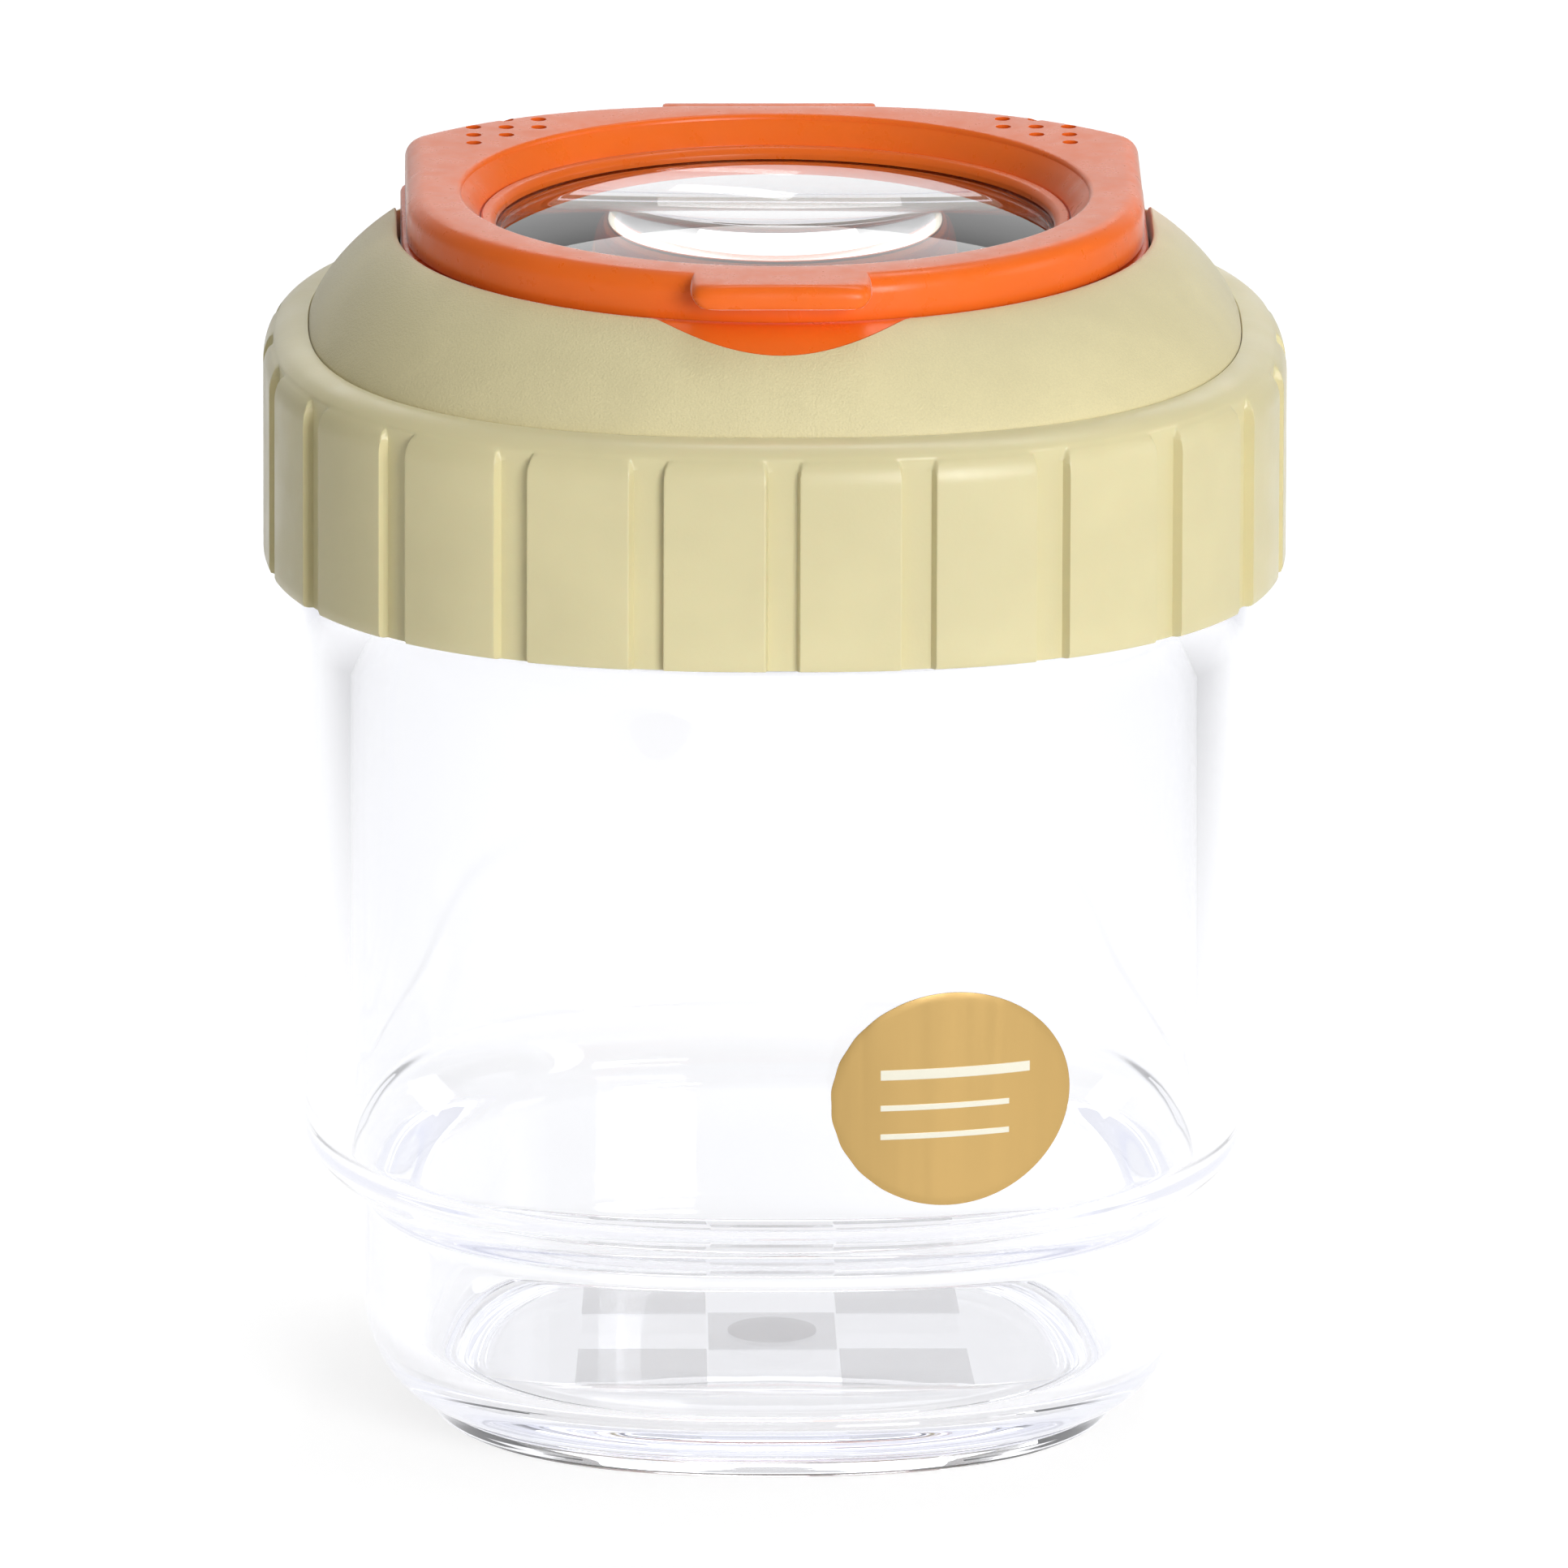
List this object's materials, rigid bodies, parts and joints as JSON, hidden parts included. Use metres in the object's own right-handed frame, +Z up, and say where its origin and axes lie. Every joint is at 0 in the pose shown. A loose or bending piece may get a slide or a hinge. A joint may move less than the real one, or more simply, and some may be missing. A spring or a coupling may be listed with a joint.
{
  "type": "bug catcher jar",
  "caption": "Clear rounded-square viewing jar with a stepped lower bowl, a ribbed screw lid and a flip-up magnifier over a fixed lens.",
  "frame": {"origin": "middle of the foot ring's underside, on the jar's axis", "axes": "+Z up along the jar's axis, -Y towards the side with the thumb tab, +X to the right seen from there, hinge at +Y"},
  "size_m": [0.0902, 0.0902, 0.1093],
  "materials": {
    "clear_plastic": "clear, polished, with frosted squares in the floor",
    "gold_paper": "printed, slightly glossy",
    "beige_plastic": "smooth satin",
    "grained_plastic": "fine spark-eroded grain",
    "orange_plastic": "semi-gloss",
    "lens_plastic": "clear, optically polished",
    "steel": "plain drawn wire"
  },
  "bodies": {
    "jar": {"jar_body": "clear_plastic", "jar_label": "gold_paper"},
    "lower_lens": {"lower_lens": "lens_plastic"},
    "lid": {"screw_ring": "beige_plastic", "dome_cover": "grained_plastic", "lens_frame": "orange_plastic", "lower_lens_ring": "orange_plastic", "hinge_pin": "steel"},
    "cover": {"flip_cover": "orange_plastic", "upper_lens": "lens_plastic", "upper_lens_ring": "orange_plastic"}
  },
  "joints": [
    {"name": "lid_lift", "type": "slide", "parent": "jar", "child": "lower_lens", "axis": [0, 0, 1], "range_m": [0, 0.024]},
    {"name": "lid_turn", "type": "hinge", "parent": "lower_lens", "child": "lid", "pos_m": [0, 0, 0.085], "axis": [0, 0, 1], "range_deg": [0, 360]},
    {"name": "cover_flip", "type": "hinge", "parent": "lid", "child": "cover", "pos_m": [0, 0.034, 0.1061], "axis": [-1, 0, 0], "range_deg": [0, 110]}
  ],
  "couplings": [
    {"joint": "lid_turn", "follows": "lid_lift", "rad_per_m": 261.79}
  ]
}
